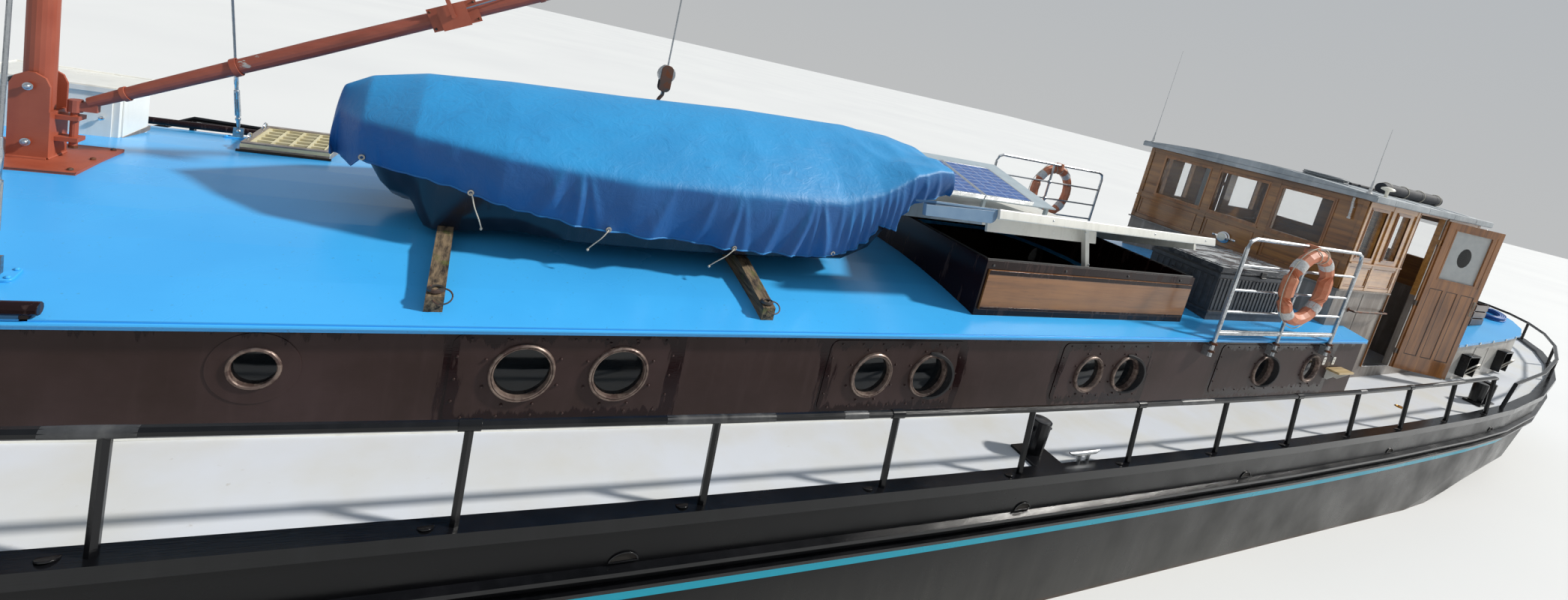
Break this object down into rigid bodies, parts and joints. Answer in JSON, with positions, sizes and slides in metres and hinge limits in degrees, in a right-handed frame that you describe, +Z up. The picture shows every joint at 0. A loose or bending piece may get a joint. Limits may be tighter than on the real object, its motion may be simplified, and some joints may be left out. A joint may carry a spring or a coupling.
{
  "type": "dutch barge",
  "caption": "Steel motor barge with a long low den over the hold, hatch, mast and cargo boom, tender on chocks, wooden wheelhouse, aft cabin, pipe rails, rudder and propeller.",
  "frame": {"origin": "on the waterline, on the centreline, 12.2 m aft of the stem head", "axes": "+X to the bow, +Y to port, +Z up"},
  "size_m": [24.624, 4.348, 10.1],
  "materials": {
    "hull_black_enamel": "gloss",
    "rail_black_enamel": "gloss",
    "den_brown_enamel": "satin",
    "roof_blue_enamel": "gloss",
    "red_oxide_paint": "matte",
    "wheelhouse_steel_paint": "satin",
    "varnished_teak": "gloss",
    "wheelhouse_roof_paint": "matte",
    "galvanised_pipe": "satin",
    "hatch_white_paint": "satin",
    "weathered_oak": "matte",
    "tarpaulin_blue": "matte",
    "tender_enamel": "gloss",
    "board_varnish": "satin",
    "solar_glass": "gloss",
    "buoy_shell": "matte",
    "deck_box_plastic": "matte",
    "propeller_bronze": "satin",
    "windlass_iron": "matte",
    "anchor_iron": "matte",
    "locker_white_paint": "satin",
    "grating_paint": "matte",
    "flap_blue_paint": "satin",
    "wire_rope": "satin"
  },
  "bodies": {
    "vessel": {"aft_cabin": "wheelhouse_steel_paint", "aft_cabin_roof": "roof_blue_enamel", "anchor_port": "anchor_iron", "anchor_stbd": "anchor_iron", "bollard_aft_port": "hull_black_enamel", "bollard_aft_stbd": "hull_black_enamel", "bollard_fore": "hull_black_enamel", "bulwark_bow": "hull_black_enamel", "chock_aft": "weathered_oak", "chock_fore": "weathered_oak", "den_roof": "roof_blue_enamel", "den_walls": "den_brown_enamel", "fore_hatch": "roof_blue_enamel", "guard_rail_port": "galvanised_pipe", "guard_rail_stbd": "galvanised_pipe", "gunwale": "hull_black_enamel", "hatch_coaming": "den_brown_enamel", "hatch_cover": "hatch_white_paint", "hull": "hull_black_enamel", "lifebuoy_port": "buoy_shell", "lifebuoy_stbd": "buoy_shell", "locker": "locker_white_paint", "mast": "red_oxide_paint", "name_board": "board_varnish", "rubbing_strake_lower": "hull_black_enamel", "rubbing_strake_upper": "hull_black_enamel", "side_rail_port": "rail_black_enamel", "side_rail_stbd": "rail_black_enamel", "skeg": "hull_black_enamel", "skylight_frame": "wheelhouse_steel_paint", "solar_panels": "solar_glass", "stays": "wire_rope", "steering_console": "varnished_teak", "stern_rail": "rail_black_enamel", "storage_box": "deck_box_plastic", "tabernacle": "red_oxide_paint", "tender": "tender_enamel", "tender_cover": "tarpaulin_blue", "wheelhouse_back": "varnished_teak", "wheelhouse_base": "wheelhouse_steel_paint", "wheelhouse_front": "varnished_teak", "wheelhouse_roof": "wheelhouse_roof_paint", "wheelhouse_side_port": "varnished_teak", "wheelhouse_side_stbd": "varnished_teak", "windlass": "windlass_iron"},
    "rigging_boom": {"boom": "red_oxide_paint", "boom_winch": "red_oxide_paint", "boom_tackle": "wire_rope", "topping_lift": "wire_rope"},
    "lid": {"hatch_lid": "hatch_white_paint", "lid_flap": "flap_blue_paint"},
    "locker_top": {"locker_lid": "locker_white_paint"},
    "skylight_top": {"skylight_lid": "grating_paint"},
    "storage_top": {"storage_box_lid": "deck_box_plastic"},
    "fore_hatch_top": {"fore_hatch_lid": "roof_blue_enamel"},
    "door_port": {"wheelhouse_door_port": "varnished_teak"},
    "door_stbd": {"wheelhouse_door_stbd": "varnished_teak"},
    "helm": {"steering_wheel": "varnished_teak"},
    "rudder_blade": {"rudder": "hull_black_enamel"},
    "screw": {"propeller": "propeller_bronze"}
  },
  "joints": [
    {"name": "boom_swing", "type": "hinge", "parent": "vessel", "child": "rigging_boom", "pos_m": [6.03, 0, 2.06], "axis": [0, 0, 1], "range_deg": [-60, 60]},
    {"name": "hatch_lid_hinge", "type": "hinge", "parent": "vessel", "child": "lid", "pos_m": [-0.47, 0, 2.16], "axis": [1, 0, 0], "range_deg": [-14.2, 65]},
    {"name": "locker_lid_hinge", "type": "hinge", "parent": "vessel", "child": "locker_top", "pos_m": [6.39, -1.03, 2.064], "axis": [1, 0, 0], "range_deg": [0, 95]},
    {"name": "skylight_lid_hinge", "type": "hinge", "parent": "vessel", "child": "skylight_top", "pos_m": [5.255, -1.19, 1.812], "axis": [1, 0, 0], "range_deg": [0, 90]},
    {"name": "storage_lid_hinge", "type": "hinge", "parent": "vessel", "child": "storage_top", "pos_m": [-2.825, 0.54, 2.202], "axis": [1, 0, 0], "range_deg": [0, 85]},
    {"name": "fore_hatch_hinge", "type": "hinge", "parent": "vessel", "child": "fore_hatch_top", "pos_m": [8.88, 0, 1.584], "axis": [0, 1, 0], "range_deg": [0, 100]},
    {"name": "door_port_hinge", "type": "hinge", "parent": "vessel", "child": "door_port", "pos_m": [-6.243, 1.276, 1.2], "axis": [0, 0, 1], "range_deg": [-153, 7]},
    {"name": "door_stbd_hinge", "type": "hinge", "parent": "vessel", "child": "door_stbd", "pos_m": [-6.243, -1.276, 1.2], "axis": [0, 0, 1], "range_deg": [-153, 0]},
    {"name": "rudder_turn", "type": "hinge", "parent": "vessel", "child": "rudder_blade", "pos_m": [-11, 0, -1], "axis": [0, 0, 1], "range_deg": [-35, 35]},
    {"name": "helm_turn", "type": "hinge", "parent": "vessel", "child": "helm", "pos_m": [-4.855, 0, 2.2], "axis": [1, 0, 0], "range_deg": [-840, 840]},
    {"name": "screw_turn", "type": "hinge", "parent": "vessel", "child": "screw", "pos_m": [-10.27, 0, -0.63], "axis": [1, 0, 0], "continuous": true}
  ],
  "couplings": [
    {"joint": "helm_turn", "follows": "rudder_turn", "ratio": 24}
  ]
}
